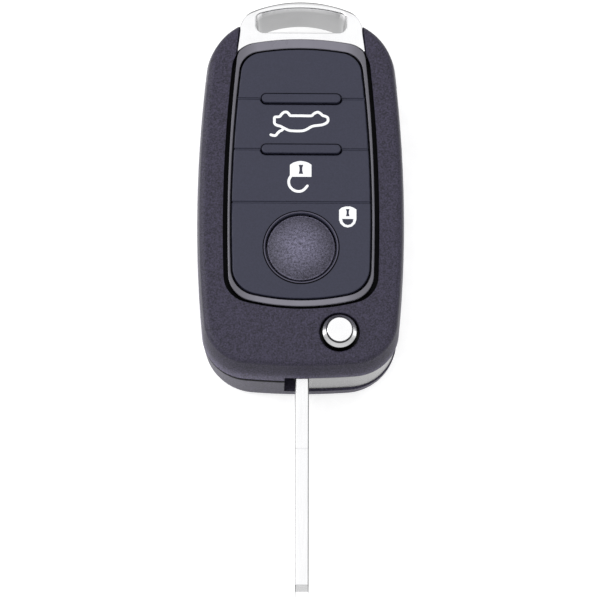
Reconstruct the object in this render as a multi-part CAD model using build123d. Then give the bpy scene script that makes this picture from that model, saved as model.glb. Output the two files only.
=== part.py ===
from build123d import *

import os

# Flip remote key for a car: a two-part moulded case with a chromed key-ring loop, a button
# panel, and a key blade that swings out of the side of the case on a chromed flip head.
# The case lies on its back with the blade swung out. The origin is the middle of the flat
# rear face. X runs across the case, Y towards the key-ring loop, Z out of the button face.
# All sizes are in millimetres.

# How far a cut runs past the faces that it opens, and how close an edge counts as at a height
cut_overrun = 1.0
edge_tolerance = 0.01

# Case outline
body_width = 38.4
widest_y = -5.0
blade_end_reach = 35.35
ring_end_reach = 34.3
blade_end_bow = 1.25
blade_corner_inset = 1.8
ring_corner_inset = 2.95
blade_corner_radius = 8.6
ring_corner_radius = 11.0

# Case heights, from the rear face up
parting_z = 10.0
floor_wall = 1.3
slot_floor_z = 3.2
slot_height = 7.6
roof_web = 0.8
mat_thickness = 0.8
bezel_flange_thickness = 1.0
top_wall = 1.6

# Case walls and edges
side_wall = 1.4
bay_end_inset = 0.8
partition_wall = 1.0
front_side_lean = 0.45
front_blade_lean = 2.0
front_ring_lean = 1.0
front_edge_radius = 1.3
rear_side_lean = 0.65
rear_corner_radius = 9.8
rear_edge_radius = 1.5
reveal_depth = 0.45
reveal_height = 0.3

# Button panel well, measured in from the case outline
well_land_low = 5.05
well_land_mid = 4.93
well_land_high = 6.75
well_mid_y = 4.0
well_blade_land = 12.4
well_ring_land = 5.02
well_bottom_sweep = 41.0
well_top_sweep = 48.0
well_corner_radius = 5.2
well_top_radius = 5.0

# Bezel round the panel
bezel_side_groove = 0.87
bezel_end_groove = 0.47
bezel_ledge = 0.7
bezel_rise = 0.35
bezel_edge_radius = 0.18
panel_side_inset = 1.68
panel_bottom_inset = 1.92
panel_top_inset = 2.1
panel_gap = 0.35
panel_corner_radius = 4.0
seat_clearance = 0.05

# Panel zones and the bars on their seams
panel_rise = 0.5
panel_edge_radius = 0.2
tailgate_zone_length = 9.83
unlock_zone_length = 10.28
seam_gap = 0.3
ridge_length = 14.6
ridge_width = 1.65
ridge_height = 0.45

# Lock button
lock_rise = 11.7
lock_zone_drop = 8.71
lock_radius = 6.2
lock_well_radius = 6.55
lock_skirt_height = 0.9
lock_crown_radius = 14.0
lock_crown_rise = 1.5

# Key travel and stems
key_travel = 0.5
key_clearance = 0.1
running_clearance = 0.15
stem_radius = 1.3
stem_clearance = 0.3

# Switches
switch_width = 6.0
switch_height = 1.8
plunger_radius = 1.2
plunger_height = 0.5
plunger_clearance = 0.08

# Circuit board, cell and chips
board_thickness = 1.0
board_margin = 0.35
board_ring_inset = 4.9
board_pivot_gap = 11.9
post_radius = 1.2
post_inset_y = 4.0
post_left_inset = 5.4
post_right_inset = 3.7
cell_radius = 10.0
cell_thickness = 3.2
cell_ring_inset = 16.5
cell_clearance = 0.3
cell_edge_radius = 0.3
clip_thickness = 0.3
clip_width = 4.0
clip_gap = 0.3
chip_size = 5.0
chip_thickness = 1.0
chip_side_inset = 9.5
chip_blade_inset = 7.7
coil_length = 8.0
coil_width = 4.0
coil_thickness = 2.4
coil_side_inset = 8.6
coil_ring_inset = 3.4

# Flip pivot and head
pivot_side_inset = 12.1
pivot_inset = 8.0
head_radius = 10.4
hub_radius = 7.0
head_clearance = 0.2
head_edge_inset = 0.35
pocket_clearance = 0.4
cheek_thickness = 0.9
hub_bore_radius = 3.1
hub_floor = 0.8
spigot_radius = 4.0
bearing_clearance = 0.05
bearing_floor_gap = 0.2
head_edge_radius = 0.35

# Key blade
blade_offset = 6.82
blade_thickness = 2.5
blade_reach = 39.8
shank_reach = 12.9
shank_root_inset = 4.0
tang_length = 6.5
tang_height = 4.6
blade_step = 0.3
blade_edge = 0.2
nose_length = 1.1
nose_drop = 1.2
blade_fit = 0.02
mouth_gap = 1.1
channel_gap = 0.55
channel_end_gap = 1.0
blade_pin_radius = 0.8
blade_pin_length = 5.4
blade_pin_inset = 7.2

# Release button and spring
release_travel = 1.2
release_hole_radius = 3.67
mouth_edge_radius = 0.2
release_fit = 0.06
release_rim_radius = 3.25
release_rim_rise = 0.45
release_flank_height = 1.05
release_top_radius = 2.3
release_skirt_height = 1.4
release_pressed_rise = 0.7
release_stem_radius = 2.0
release_stem_length = 2.0
release_edge_radius = 0.15
spring_wire = 0.55
spring_turns = 5
spring_clearance = 0.2

# Key-ring loop
loop_overhang = 3.42
loop_half_width = 11.3
foot_side_inset = 7.0
foot_depth = 4.3
loop_crown = 3.5
loop_corner_radius = 4.6
slot_half_length = 8.5
slot_depth = 5.75
slot_rim = 1.03
slot_corner_radius = 1.5
slot_bow = 1.55
slot_waist_inset = 0.95
loop_front_drop = 3.0
loop_rear_rise = 2.6
loop_edge_radius = 0.4
loop_rear_radius = 0.6
tongue_half_width = 5.5
tongue_thickness = 3.0
tongue_length = 2.4
tongue_root = 1.0
hook_length = 1.2
hook_drop = 1.0
yoke_wall = 1.2

# Case screw
screw_side_inset = 7.8
screw_inset = 8.2
screw_head_radius = 1.9
screw_head_height = 1.2
screw_head_recess = 0.5
screw_radius = 0.95
screw_clearance = 0.1
screw_boss_radius = 2.5
screw_tip_gap = 0.5

# Values that follow from the sizes above
half_width = body_width / 2
slot_ceiling_z = slot_floor_z + slot_height
mat_z = slot_ceiling_z + roof_web
mat_top_z = mat_z + mat_thickness
flange_top_z = mat_top_z + bezel_flange_thickness
face_z = flange_top_z + top_wall
panel_z = face_z + panel_rise
key_bottom_z = mat_top_z + key_travel + key_clearance

well_bottom_y = -blade_end_reach + well_blade_land
well_top_y = ring_end_reach - well_ring_land
lock_y = well_bottom_y + lock_rise
seam_3_y = lock_y + lock_zone_drop
seam_2_y = seam_3_y + unlock_zone_length
seam_1_y = seam_2_y + tailgate_zone_length
tailgate_y = (seam_1_y + seam_2_y) / 2
unlock_y = (seam_2_y + seam_3_y) / 2

cell_z = floor_wall + clip_thickness
board_z = cell_z + cell_thickness + cell_clearance
board_top_z = board_z + board_thickness
switch_top_z = board_top_z + switch_height
plunger_top_z = switch_top_z + plunger_height

pivot_x = half_width - pivot_side_inset
pivot_y = -blade_end_reach + pivot_inset
blade_x = pivot_x - blade_offset
pocket_radius = head_radius + pocket_clearance
head_z = slot_floor_z + head_clearance
head_height = slot_height - 2 * head_clearance
head_top_z = head_z + head_height
hub_floor_z = head_z + hub_floor
head_left_x = blade_x - blade_thickness / 2 - cheek_thickness
mouth_left_x = head_left_x - mouth_gap
folded_blade_x = 2 * pivot_x - blade_x
blade_tip_y = -blade_end_reach - blade_reach
folded_tip_y = 2 * pivot_y - blade_tip_y
channel_inner_x = folded_blade_x - blade_thickness / 2 - channel_gap
channel_end_y = folded_tip_y + channel_end_gap
shank_root_y = -blade_end_reach + shank_root_inset
blade_pin_y = -blade_end_reach + blade_pin_inset
blade_mid_z = head_z + head_height / 2
screw_x = -half_width + screw_side_inset
screw_y = -blade_end_reach + screw_inset
screw_seat_z = screw_head_recess + screw_head_height
release_skirt_z = flange_top_z - release_skirt_height
release_top_z = face_z + release_travel + release_pressed_rise

board_ring_end_y = well_top_y - board_ring_inset
board_blade_end_y = pivot_y + board_pivot_gap
post_left_x = -half_width + post_left_inset
post_right_x = channel_inner_x - post_right_inset
bay_left_x = -half_width + rear_side_lean + side_wall
bay_right_x = channel_inner_x - partition_wall
cell_x = (bay_left_x + bay_right_x) / 2
cell_y = board_ring_end_y - cell_ring_inset
chip_x = -half_width + chip_side_inset
chip_y = board_blade_end_y + chip_blade_inset
coil_x = -half_width + coil_side_inset
coil_y = board_ring_end_y - coil_ring_inset

far = 3 * body_width
loop_reach = ring_end_reach + loop_overhang
loop_corner_y = loop_reach - loop_crown
slot_near_y = loop_reach - slot_rim - slot_depth
key_places = {"tailgate": tailgate_y, "unlock": unlock_y, "lock": lock_y}


def prism(area, low, high):
    # A plan area raised from one height to another.
    return extrude(Pos(0, 0, low) * area, high - low)


def block(low, high):
    # A box from its lowest and highest corners.
    size = [top - bottom for bottom, top in zip(low, high)]
    corner = (Align.MIN, Align.MIN, Align.MIN)
    return Pos(*low) * Box(*size, align=corner)


def post(x, y, low, high, radius):
    # An upright round bar between two heights.
    return Pos(x, y, low) * Cylinder(radius, high - low, align=(Align.CENTER, Align.CENTER, Align.MIN))


def plan_rectangle(low_x, low_y, high_x, high_y):
    return Pos(low_x, low_y) * Rectangle(high_x - low_x, high_y - low_y, align=(Align.MIN, Align.MIN))


def case_outline(side_lean=0.0, blade_lean=0.0, ring_lean=0.0, corner_radius=blade_corner_radius):
    # Plan of the case: bowed sides and blade end, round corners, flat ring end. A face that
    # leans in has the same plan with its sides and its ends further in.
    half = half_width - side_lean
    blade_end_y = -blade_end_reach + blade_lean
    ring_end_y = ring_end_reach - ring_lean
    low_x = half - blade_corner_inset
    low_y = blade_end_y + blade_end_bow
    high_x = half - ring_corner_inset
    with BuildSketch() as plan:
        with BuildLine():
            ThreePointArc((-low_x, low_y), (0, blade_end_y), (low_x, low_y))
            Line((high_x, ring_end_y), (-high_x, ring_end_y))
            for side in (-1, 1):
                TangentArc((side * half, widest_y), (side * low_x, low_y), tangent=(0, -1))
                TangentArc((side * half, widest_y), (side * high_x, ring_end_y), tangent=(0, 1))
        make_face()
        fillet(plan.vertices().group_by(Axis.Y)[0], corner_radius)
        fillet(plan.vertices().group_by(Axis.Y)[-1], ring_corner_radius)
    return plan.sketch


def rear_outline(end_inset=0.0):
    # Plan of the rear face: narrower and rounder at the blade end than the parting line.
    return case_outline(rear_side_lean, end_inset, 0, rear_corner_radius)


def case_block(low_area, low, high_area, high):
    # The solid between two plans of the case, each at its height.
    return loft([Pos(0, 0, low) * low_area, Pos(0, 0, high) * high_area], ruled=True)


def arc_drop(radius, x):
    # How far a crowned end falls back at a distance from its middle.
    return radius - (radius ** 2 - x ** 2) ** 0.5


def panel_outline(side_inset, bottom_inset, top_inset, top_radius):
    # Plan of the button panel well, or of a line inside or outside it.
    low_x = half_width - well_land_low - side_inset
    high_x = half_width - well_land_high - side_inset
    low_y = well_bottom_y + bottom_inset + arc_drop(well_bottom_sweep - bottom_inset, low_x)
    high_y = well_top_y - top_inset - arc_drop(well_top_sweep - top_inset, high_x)
    low = (low_x, low_y)
    mid = (half_width - well_land_mid - side_inset, well_mid_y)
    high = (high_x, high_y)
    with BuildSketch() as plan:
        with BuildLine():
            ThreePointArc((-low[0], low[1]), (0, well_bottom_y + bottom_inset), low)
            ThreePointArc(low, mid, high)
            ThreePointArc(high, (0, well_top_y - top_inset), (-high[0], high[1]))
            ThreePointArc((-high[0], high[1]), (-mid[0], mid[1]), (-low[0], low[1]))
        make_face()
        fillet(plan.vertices().group_by(Axis.Y)[0], well_corner_radius)
        fillet(plan.vertices().group_by(Axis.Y)[-1], top_radius)
    return plan.sketch


def flange_outline(margin=0.0):
    # Plan of the ledge under the case wall, run on past the edge of the loop's foot.
    ledge = -bezel_ledge - margin
    return panel_outline(ledge, ledge, -cut_overrun - margin, well_top_radius)


def key_outline():
    # Plan of the whole button panel inside the bezel.
    return panel_outline(panel_side_inset, panel_bottom_inset, panel_top_inset, panel_corner_radius)


def yoke_outline(margin=0.0):
    # Plan of the chromed end piece: the loop, and the foot that ends at the button panel well.
    foot_x = half_width - foot_side_inset + margin
    foot_y = well_top_y - foot_depth
    shoulder = (loop_half_width + margin, loop_corner_y + margin)
    with BuildSketch() as plan:
        with BuildLine():
            Polyline((-shoulder[0], shoulder[1]), (-foot_x, foot_y), (foot_x, foot_y), shoulder)
            ThreePointArc(shoulder, (0, loop_reach + margin), (-shoulder[0], shoulder[1]))
        make_face()
        fillet(plan.vertices().group_by(Axis.Y)[-1], loop_corner_radius)
    return plan.sketch - panel_outline(margin, margin, margin, well_top_radius)


def slot_area(margin=0.0):
    # Plan of the space that the head and the blade swing through, open past the case.
    pocket = Pos(pivot_x, pivot_y) * Circle(pocket_radius + margin)
    mouth = plan_rectangle(mouth_left_x - margin, -far, far, pivot_y)
    channel = plan_rectangle(channel_inner_x - margin, -far, far, channel_end_y + margin)
    return pocket + mouth + channel


def bay_area(margin=0.0):
    # Plan of the hollow beside the blade slot that holds the electronics.
    inside = offset(rear_outline(bay_end_inset), -side_wall - margin)
    inside -= slot_area(partition_wall + margin)
    return inside - yoke_outline(yoke_wall + margin)


def edges_near_z(solid, height):
    return solid.edges().filter_by_position(Axis.Z, height - edge_tolerance, height + edge_tolerance)


def soft_prism(area, low, high, radius):
    # A plan area raised between two heights, with its upper edges rounded.
    return round_edges(prism(area, low, high), high, radius)


def round_edges(solid, height, radius):
    # Rounds every edge that lies at one height.
    return fillet(edges_near_z(solid, height), radius)


def is_release_mouth(edge):
    on_face = abs(edge.center().Z - face_z) < edge_tolerance
    return on_face and abs(edge.radius - release_hole_radius) < edge_tolerance


def front_shell():
    face_area = case_outline(front_side_lean, front_blade_lean, front_ring_lean)
    shell = case_block(case_outline(), parting_z, face_area, face_z)
    shell = round_edges(shell, face_z, front_edge_radius)
    shell -= prism(slot_area(), parting_z - cut_overrun, slot_ceiling_z)
    shell -= prism(bay_area(), parting_z - cut_overrun, mat_z)
    shell -= prism(flange_outline(seat_clearance), mat_z, flange_top_z)
    shell -= prism(panel_outline(0, 0, 0, well_top_radius), flange_top_z, face_z + cut_overrun)
    shell -= post(pivot_x, pivot_y, parting_z, face_z + cut_overrun, release_hole_radius)
    shell = fillet(shell.edges().filter_by(GeomType.CIRCLE).filter_by(is_release_mouth), mouth_edge_radius)
    shell -= prism(yoke_outline(seat_clearance), parting_z - cut_overrun, face_z + cut_overrun)
    shell += post(screw_x, screw_y, parting_z, mat_z, screw_boss_radius)
    pilot_radius = screw_radius + bearing_clearance
    return shell - post(screw_x, screw_y, parting_z - cut_overrun, flange_top_z, pilot_radius)


def rear_reveal():
    # The shadow gap round the top edge of the rear shell.
    ring = case_outline() - offset(case_outline(), -reveal_depth)
    return prism(ring, parting_z - reveal_height, parting_z + cut_overrun)


def board_posts():
    posts = Part()
    for x in (post_left_x, post_right_x):
        for y in (board_ring_end_y - post_inset_y, board_blade_end_y + post_inset_y):
            posts += post(x, y, floor_wall, board_z, post_radius)
    return posts


def tongue(margin=0.0):
    # The hooked tongue that holds the loop between the two shells.
    hook_y = well_top_y - yoke_wall - tongue_length
    low_z = parting_z - tongue_thickness
    strap = block((-tongue_half_width - margin, hook_y, low_z - margin),
                  (tongue_half_width + margin, well_top_y + tongue_root, parting_z))
    hook = block((-tongue_half_width - margin, hook_y, low_z - hook_drop),
                 (tongue_half_width + margin, hook_y + hook_length, parting_z))
    return strap, hook


def rear_shell():
    shell = case_block(rear_outline(), 0, case_outline(), parting_z)
    shell = round_edges(shell, 0, rear_edge_radius)
    over_z = parting_z + cut_overrun
    shell -= prism(bay_area(), floor_wall, over_z)
    shell -= prism(slot_area(), slot_floor_z, over_z)
    shell -= prism(yoke_outline(seat_clearance), -cut_overrun, over_z)
    shell -= rear_reveal()
    shell += board_posts()
    shell -= tongue(seat_clearance)[0]
    bearing_radius = spigot_radius + bearing_clearance
    shell -= post(pivot_x, pivot_y, floor_wall, slot_floor_z + cut_overrun, bearing_radius)
    shell += post(screw_x, screw_y, floor_wall, parting_z, screw_boss_radius)
    shell -= post(screw_x, screw_y, -cut_overrun, over_z, screw_radius + screw_clearance)
    return shell - post(screw_x, screw_y, -cut_overrun, screw_seat_z, screw_head_radius + screw_clearance)


def loop_side_profile():
    # Side view of the chromed end piece: full height at its foot, slimmer at the loop.
    foot_y = well_top_y - foot_depth
    front_tip = (loop_reach, face_z - loop_front_drop)
    rear_tip = (loop_reach, loop_rear_rise)
    with BuildSketch(Plane.YZ) as side:
        with BuildLine():
            TangentArc((foot_y, face_z), front_tip, tangent=(1, 0))
            Line(front_tip, rear_tip)
            TangentArc((foot_y, 0), rear_tip, tangent=(1, 0))
            Line((foot_y, 0), (foot_y, face_z))
        make_face()
    return side.sketch


def ring_slot_mouth(inset):
    # Plan of the key-ring slot: straight near side and ends, bowed far side, round corners.
    half = slot_half_length - inset
    far_y = loop_reach - slot_rim - inset
    end_y = far_y - slot_bow
    with BuildSketch() as plan:
        with BuildLine():
            Polyline((-half, end_y), (-half, slot_near_y), (half, slot_near_y), (half, end_y))
            ThreePointArc((half, end_y), (0, far_y), (-half, end_y))
        make_face()
        fillet(plan.vertices(), slot_corner_radius)
    return plan.sketch


def ring_slot():
    # The key-ring slot: its far wall and its ends lean in from the front to the rear.
    front = Pos(0, 0, face_z + cut_overrun) * ring_slot_mouth(0)
    rear = Pos(0, 0, -cut_overrun) * ring_slot_mouth(slot_waist_inset)
    return loft([rear, front], ruled=True)


def keyring_loop():
    piece = prism(yoke_outline(), 0, face_z)
    piece &= extrude(loop_side_profile(), half_width, both=True)
    piece -= ring_slot()
    front = piece.faces().filter_by(lambda face: face.normal_at().Z > 0.5).sort_by(SortBy.AREA)[-1]
    piece = fillet(front.edges(), loop_edge_radius)
    rear = piece.faces().filter_by(lambda face: face.normal_at().Z < -0.5).sort_by(SortBy.AREA)[-1]
    piece = fillet(rear.edges(), loop_rear_radius)
    strap, hook = tongue()
    return piece + strap + hook


def pad_bezel():
    rim_z = face_z + bezel_rise
    opening = panel_outline(panel_side_inset - panel_gap, panel_bottom_inset - panel_gap,
                            panel_top_inset - panel_gap, panel_corner_radius)
    foot = yoke_outline(seat_clearance)
    rim_area = panel_outline(bezel_side_groove, bezel_end_groove, -cut_overrun, well_top_radius)
    rim = soft_prism(rim_area - foot - opening, flange_top_z, rim_z, bezel_edge_radius)
    return rim + prism(flange_outline() - foot - opening, mat_top_z, flange_top_z)


def ridge(seam_y, margin=0.0):
    # Plan of the raised bar on a seam, which belongs to the piece above it.
    shape = SlotOverall(ridge_length + 2 * margin, ridge_width + 2 * margin)
    return Pos(0, seam_y) * shape


def zone_area(low_y, high_y):
    band = plan_rectangle(-far, low_y + seam_gap / 2, far, high_y - seam_gap / 2)
    return key_outline() & band


def ridge_bar(seam_y, low_z):
    return soft_prism(ridge(seam_y), low_z, panel_z + ridge_height, panel_edge_radius)


def button_pad():
    base = prism(flange_outline() - yoke_outline(seat_clearance), mat_z, mat_top_z)
    blank = soft_prism(zone_area(seam_1_y, far), mat_top_z, panel_z, panel_edge_radius)
    blank += ridge_bar(seam_1_y, mat_top_z)
    lock_well = Pos(0, lock_y) * Circle(lock_well_radius)
    surround = soft_prism(zone_area(-far, seam_3_y) - lock_well, mat_top_z, panel_z, panel_edge_radius)
    pad = base + blank + surround
    for y in key_places.values():
        pad -= post(0, y, mat_z, mat_top_z, stem_radius + stem_clearance)
    return pad


def key_stem(y):
    return post(0, y, plunger_top_z, key_bottom_z, stem_radius)


def panel_key(low_y, high_y, notch_y, bar_y=None):
    area = zone_area(low_y, high_y) - ridge(notch_y, seam_gap)
    key = soft_prism(area, key_bottom_z, panel_z, panel_edge_radius)
    if bar_y is not None:
        key += ridge_bar(bar_y, key_bottom_z)
    return key


def tailgate_button():
    key = panel_key(seam_2_y, seam_1_y, seam_1_y, seam_2_y)
    return key + key_stem(tailgate_y)


def unlock_button():
    return panel_key(seam_3_y, seam_2_y, seam_2_y) + key_stem(unlock_y)


def lock_button():
    crown_z = panel_z + lock_crown_rise - panel_rise
    crown = Pos(0, lock_y, crown_z - lock_crown_radius) * Sphere(lock_crown_radius)
    dome = post(0, lock_y, key_bottom_z, crown_z + cut_overrun, lock_radius) & crown
    skirt_radius = lock_well_radius - running_clearance
    skirt = post(0, lock_y, key_bottom_z, key_bottom_z + lock_skirt_height, skirt_radius)
    return dome + skirt + key_stem(lock_y)


def circuit_board():
    span = plan_rectangle(-far, board_blade_end_y, far, board_ring_end_y)
    return prism(bay_area(board_margin) & span, board_z, board_top_z)


def switch_body(y):
    side = switch_width / 2
    body = block((-side, y - side, board_top_z), (side, y + side, switch_top_z))
    return body - post(0, y, board_top_z + plunger_height, switch_top_z, plunger_radius + plunger_clearance)


def switch_plunger(y):
    low = board_top_z + plunger_height + key_travel + key_clearance
    return post(0, y, low, plunger_top_z, plunger_radius)


def coin_cell():
    can = post(cell_x, cell_y, cell_z, cell_z + cell_thickness, cell_radius)
    return round_edges(can, cell_z + cell_thickness, cell_edge_radius)


def negative_clip():
    # A leaf under the cell that turns up beside it to the board.
    left = cell_x - cell_radius - clip_gap - clip_thickness
    low_y = cell_y - clip_width / 2
    high_y = cell_y + clip_width / 2
    leaf = block((left, low_y, floor_wall), (cell_x, high_y, cell_z))
    leg = block((left, low_y, floor_wall), (left + clip_thickness, high_y, board_z))
    return leaf + leg


def positive_clip():
    # A strip from the board that lies on the cell and turns down at its rim.
    right = cell_x + cell_radius + clip_gap + clip_thickness
    low_y = cell_y - clip_width / 2
    high_y = cell_y + clip_width / 2
    strip = block((cell_x, low_y, cell_z + cell_thickness), (right, high_y, board_z))
    leg = block((right - clip_thickness, low_y, cell_z), (right, high_y, board_z))
    return strip + leg


def radio_chip():
    side = chip_size / 2
    low = (chip_x - side, chip_y - side, board_top_z)
    return block(low, (chip_x + side, chip_y + side, board_top_z + chip_thickness))


def transponder_coil():
    return block((coil_x - coil_length / 2, coil_y - coil_width / 2, board_top_z),
                 (coil_x + coil_length / 2, coil_y + coil_width / 2, board_top_z + coil_thickness))


def head_plan():
    # Plan of the head: a lobe that stays inside the case at its mid height, and a round hub.
    mid_corner_radius = (blade_corner_radius + rear_corner_radius) / 2
    mid_outline = case_outline(rear_side_lean / 2, 0, 0, mid_corner_radius)
    swing = Pos(pivot_x, pivot_y) * Circle(head_radius)
    lobe = swing & offset(mid_outline, -head_edge_inset) & plan_rectangle(head_left_x, -far, far, pivot_y)
    return lobe + Pos(pivot_x, pivot_y) * Circle(hub_radius)


def blade_slot():
    # The head's slot: full height at the shank, a blind pocket for the tang.
    half = blade_thickness / 2 + blade_fit
    reach = tang_height / 2 + blade_fit
    end_y = shank_root_y + tang_length + blade_fit
    shank = block((blade_x - half, -far, head_z - cut_overrun),
                  (blade_x + half, shank_root_y, head_top_z + cut_overrun))
    tang = block((blade_x - half, shank_root_y - cut_overrun, blade_mid_z - reach),
                 (blade_x + half, end_y, blade_mid_z + reach))
    return shank + tang


def blade_pin(margin=0.0):
    pin = post(0, 0, 0, blade_pin_length + margin, blade_pin_radius + margin)
    return Pos(head_left_x, blade_pin_y, blade_mid_z) * Rot(0, 90, 0) * pin


def flip_head():
    head = soft_prism(head_plan(), head_z, head_top_z, head_edge_radius)
    head = round_edges(head, head_z, head_edge_radius)
    head += post(pivot_x, pivot_y, floor_wall + bearing_floor_gap, head_z, spigot_radius)
    head -= post(pivot_x, pivot_y, hub_floor_z, head_top_z + cut_overrun, hub_bore_radius)
    head -= blade_slot()
    return head - blade_pin(blade_fit)


def key_blade():
    half = blade_thickness / 2
    shank_end_y = -blade_end_reach - shank_reach
    low_z = head_z + blade_step
    high_z = head_top_z - blade_step
    shank = block((blade_x - half, shank_end_y, head_z), (blade_x + half, shank_root_y, head_top_z))
    tang = block((blade_x - half, shank_root_y, blade_mid_z - tang_height / 2),
                 (blade_x + half, shank_root_y + tang_length, blade_mid_z + tang_height / 2))
    nose_y = blade_tip_y + nose_length
    with BuildSketch(Plane.YZ) as side:
        with BuildLine():
            Polyline((shank_end_y, low_z), (nose_y, low_z), (blade_tip_y, low_z + nose_drop),
                     (blade_tip_y, high_z - nose_drop), (nose_y, high_z), (shank_end_y, high_z), close=True)
        make_face()
    strip = Pos(blade_x, 0, 0) * extrude(side.sketch, half, both=True)
    strip = chamfer(strip.edges().filter_by(Axis.Y), blade_edge)
    shank = chamfer(shank.edges().filter_by(Axis.Y), blade_edge)
    return shank + tang + strip - blade_pin(blade_fit)


def release_button():
    rim_z = face_z + release_rim_rise
    skirt = post(pivot_x, pivot_y, release_skirt_z, flange_top_z, release_hole_radius - release_fit)
    rim = post(pivot_x, pivot_y, flange_top_z, rim_z, release_rim_radius)
    flank = Cone(release_rim_radius, release_top_radius, release_flank_height,
                 align=(Align.CENTER, Align.CENTER, Align.MIN))
    crown = post(pivot_x, pivot_y, rim_z, release_top_z, release_top_radius)
    crown = round_edges(crown, release_top_z, release_edge_radius)
    stem_z = release_skirt_z - release_stem_length
    stem = post(pivot_x, pivot_y, stem_z, release_skirt_z, release_stem_radius)
    return skirt + rim + Pos(pivot_x, pivot_y, rim_z) * flank + crown + stem


def flip_spring():
    # One coil under the release button: it lifts the button and turns the head.
    low = hub_floor_z + spring_wire / 2
    high = release_skirt_z - spring_wire / 2
    radius = hub_bore_radius - spring_clearance - spring_wire / 2
    pitch = (high - low) / spring_turns
    path = Pos(pivot_x, pivot_y, low) * Helix(pitch, high - low, radius)
    section = Plane(origin=path @ 0, z_dir=path % 0) * Circle(spring_wire / 2)
    return sweep(section, path, is_frenet=True)


def case_screw():
    head = post(screw_x, screw_y, screw_head_recess, screw_seat_z, screw_head_radius)
    return head + post(screw_x, screw_y, screw_seat_z, flange_top_z - screw_tip_gap, screw_radius)


def build_pieces():
    pieces = {
        "front_shell": front_shell(),
        "rear_shell": rear_shell(),
        "keyring_loop": keyring_loop(),
        "pad_bezel": pad_bezel(),
        "button_pad": button_pad(),
        "tailgate_button": tailgate_button(),
        "unlock_button": unlock_button(),
        "lock_button": lock_button(),
        "circuit_board": circuit_board(),
        "coin_cell": coin_cell(),
        "negative_clip": negative_clip(),
        "positive_clip": positive_clip(),
        "radio_chip": radio_chip(),
        "transponder_coil": transponder_coil(),
        "flip_head": flip_head(),
        "key_blade": key_blade(),
        "blade_pin": blade_pin(),
        "release_button": release_button(),
        "flip_spring": flip_spring(),
        "case_screw": case_screw(),
    }
    for name, y in key_places.items():
        pieces[name + "_switch"] = switch_body(y)
        pieces[name + "_plunger"] = switch_plunger(y)
    return pieces


os.makedirs("parts", exist_ok=True)
for name, piece in build_pieces().items():
    export_step(piece, f"parts/{name}.step")
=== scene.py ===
import math

import bmesh
import bpy
from bpy.props import FloatProperty, FloatVectorProperty, IntProperty, PointerProperty
from mathutils import Matrix, Vector


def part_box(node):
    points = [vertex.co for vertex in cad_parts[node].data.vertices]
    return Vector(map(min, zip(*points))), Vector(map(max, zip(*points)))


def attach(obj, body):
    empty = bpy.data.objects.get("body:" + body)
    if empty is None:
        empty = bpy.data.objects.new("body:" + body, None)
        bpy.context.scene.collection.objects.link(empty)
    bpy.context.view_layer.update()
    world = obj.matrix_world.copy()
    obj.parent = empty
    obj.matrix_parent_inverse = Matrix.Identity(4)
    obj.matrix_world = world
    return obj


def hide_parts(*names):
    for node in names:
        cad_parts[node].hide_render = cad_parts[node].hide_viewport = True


bl_info = {
    "name": "Flip key fob",
    "version": (1, 0, 0),
    "blender": (4, 5, 0),
    "location": "3D View > Sidebar > Flip key",
    "description": "Finishes the flip key fob: plastics, plating, printed marks, inner parts and stage",
    "category": "Object",
}

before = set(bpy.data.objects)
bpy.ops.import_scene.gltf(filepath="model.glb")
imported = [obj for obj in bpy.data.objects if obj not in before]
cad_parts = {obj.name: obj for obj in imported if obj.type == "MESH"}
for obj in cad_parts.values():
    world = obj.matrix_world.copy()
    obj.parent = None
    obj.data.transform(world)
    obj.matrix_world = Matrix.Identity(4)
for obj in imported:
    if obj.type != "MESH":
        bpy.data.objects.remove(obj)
MM = 0.001


def node_box(name):
    low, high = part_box(name)
    return Vector(low), Vector(high)


def node_centre(name):
    low, high = node_box(name)
    return (low + high) / 2


PANEL_TOP = node_box("unlock_button")[1].z
DOME_TOP = node_box("lock_button")[1].z
BUTTON_TOP = node_box("release_button")[1].z
BLADE_X = node_centre("key_blade").x

# Lengths in millimetres, and two slopes

DOME_SPHERE = 14.0      # radius of the sphere that the lock button's top is cut from
LIP_RADIUS = 6.80       # middle of the moulded ring round the lock button
LOOP_CENTRE_Y = 17.82   # centre of the loop's outer arc
LOOP_EDGE_LOW = 11.75   # lower limit of the painted dark line of shade on the loop's edge, at the middle
LOOP_EDGE_RISE = 0.125  # how much that limit rises for each millimetre to the side
BLADE_EDGE_LOW = 10.05  # lower limit of the painted dark lines of shade on the blade's upper edges
EDGE_FALL = 3.0         # how fast a painted dark line ends below its limit
FILM_SINK = 0.01        # how deep a thin film starts under its face
GROOVE_SHADE_RISE = 0.012     # height of the painted groove shade line above the panel
GROOVE_SHADE_WIDTH = 0.28     # width of the painted groove shade line round a ridge
RIDGE_END = 6.475       # middle of a ridge's round end
RIDGE_REACH = 0.96      # from a ridge's middle line to the painted groove shade line round it
WEB_HALF = 0.11         # half the width of the webs that close the seams
WEB_TOP = 0.16          # how far a web lies under the panel's face
WEB_FOOT = 3.0          # and how deep its underside is
MARK_SHIFT = 0.1        # the marks stand this far to the left
FLOOR_GAP = 0.2         # the floor lies this far under the key

# Ridges as height along the panel and the body they ride on, and seams as height and spans across the panel
RIDGES = [(17.57, "case"), (7.74, "tailgate_key")]
SEAM_WEBS = [(17.57, [(-11.75, -7.55), (7.55, 11.75)]),
             (7.74, [(-12.3, -7.55), (7.55, 12.3)]),
             (-2.54, [(-12.65, 12.65)])]
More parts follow.
